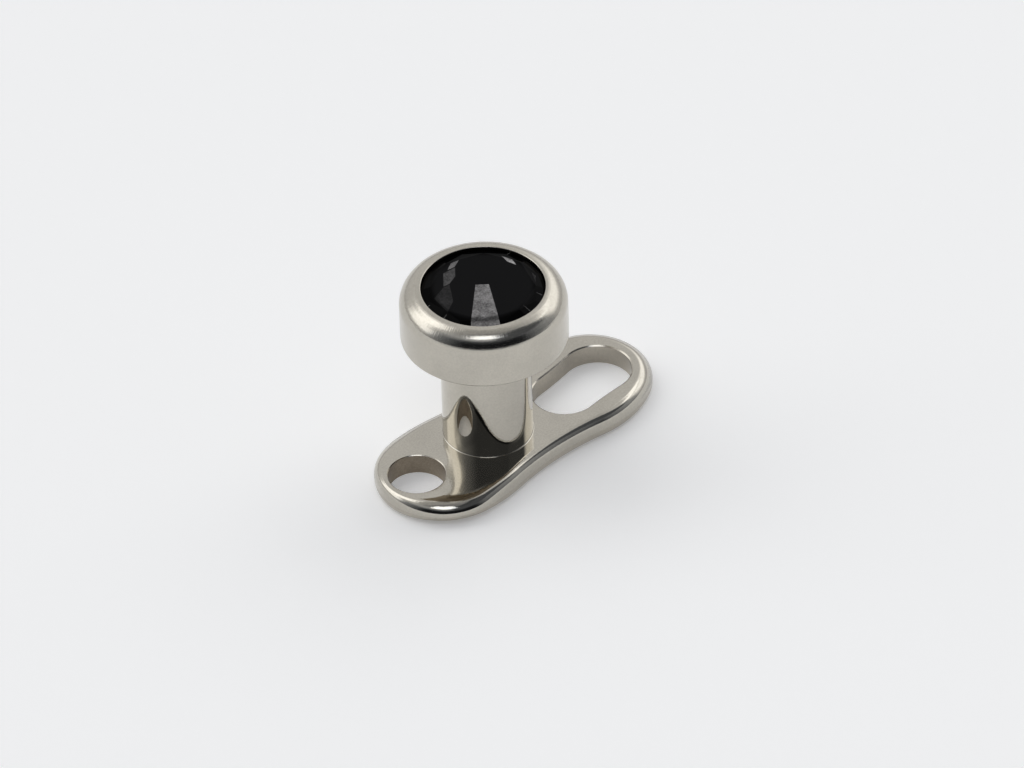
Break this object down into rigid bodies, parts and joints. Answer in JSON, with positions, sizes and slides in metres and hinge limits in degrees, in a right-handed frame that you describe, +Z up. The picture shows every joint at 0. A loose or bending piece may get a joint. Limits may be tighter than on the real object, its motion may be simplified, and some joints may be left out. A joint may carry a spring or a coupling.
{
  "type": "dermal anchor with gem top",
  "caption": "Metal dermal anchor: a long foot plate with a round hole and a pear-shaped slot, a post, and a round bezel-set black stone on top.",
  "frame": {"origin": "on the post's axis, on the underside of the foot plate", "axes": "+Z up the post towards the gem, +X along the foot plate towards its large slot"},
  "size_m": [0.008, 0.004, 0.0049],
  "materials": {
    "anchor": "polished, warm grey",
    "threaded_stem": "satin, warm grey",
    "top_cup": "polished, with fine turning marks",
    "stone": "black, faceted, glossy"
  },
  "bodies": {
    "root": {"anchor": "anchor", "threaded_stem": "threaded_stem", "top_cup": "top_cup", "stone": "stone"}
  },
  "joints": []
}
